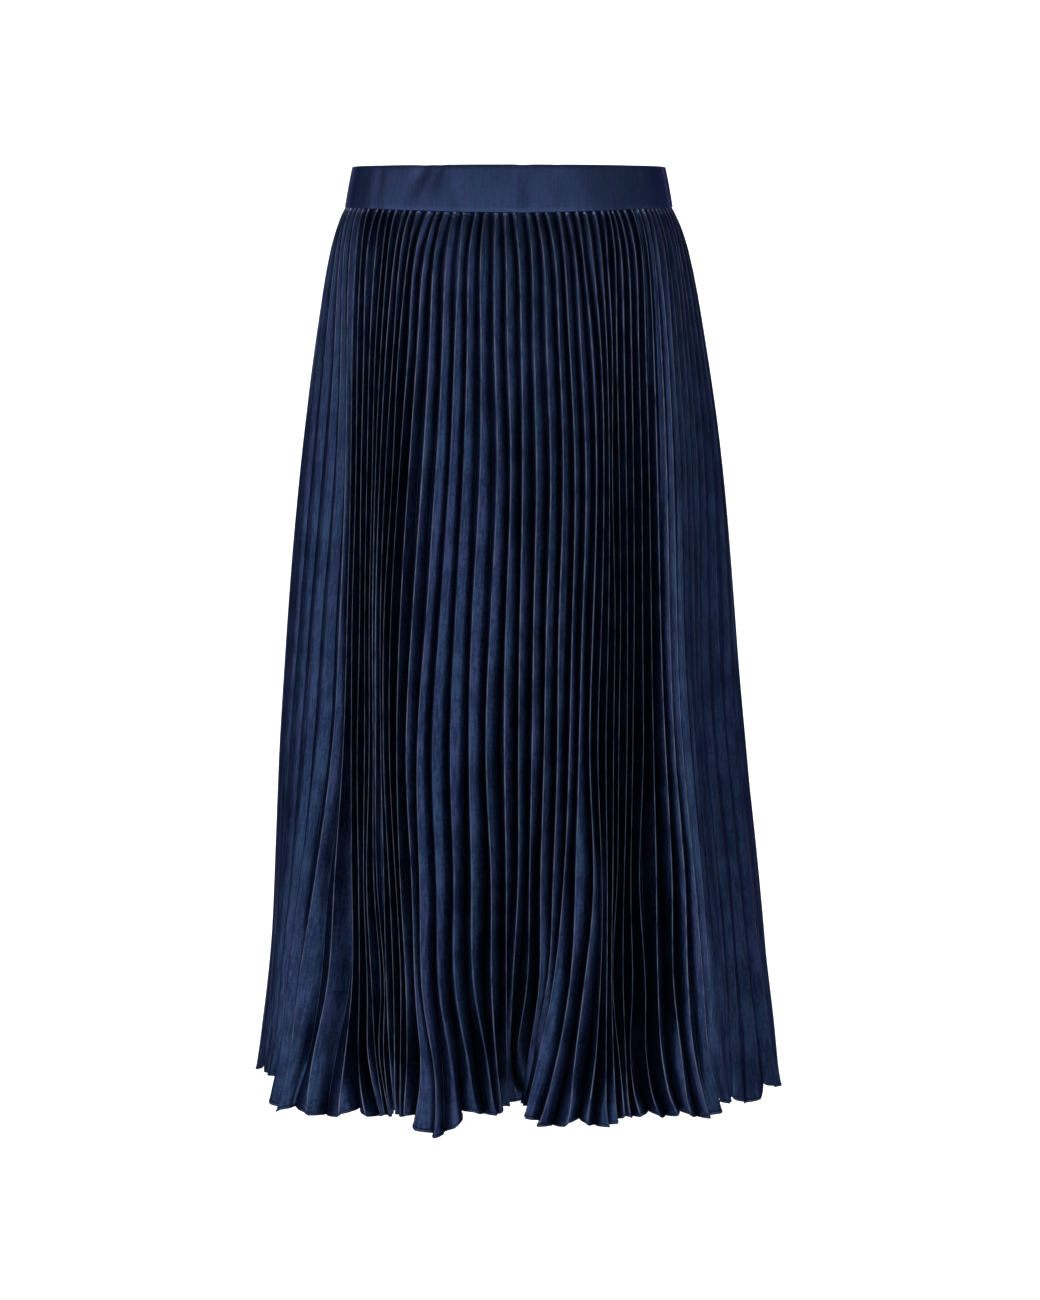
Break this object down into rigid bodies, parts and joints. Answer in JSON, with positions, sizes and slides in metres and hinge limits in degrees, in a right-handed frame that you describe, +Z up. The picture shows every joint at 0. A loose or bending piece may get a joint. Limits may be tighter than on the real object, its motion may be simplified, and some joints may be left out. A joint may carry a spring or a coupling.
{
  "type": "pleated midi skirt",
  "caption": "Full-length-pleated midi skirt of navy satin with a fitted waistband and a concealed side zip, filled out as worn, hollow, with waist and hem open.",
  "frame": {"origin": "middle of the waistband's oval, at half the band's height at the side seams", "axes": "+Z up towards the waist; the skirt's front faces -Y; the wearer's right side is -X and the wearer's left side, with the zip, is +X"},
  "size_m": [0.4515, 0.4127, 0.8079],
  "materials": {
    "pleated_satin": "navy satin with a fine slub, heat-set in knife-edged pleats",
    "band_satin": "the same satin, plain, folded over stiffening",
    "zip_tape": "matt woven zip tape, dyed to match"
  },
  "bodies": {
    "root": {"skirt_front": "pleated_satin", "skirt_back": "pleated_satin", "waistband": "band_satin", "side_zip": "zip_tape"}
  },
  "joints": []
}
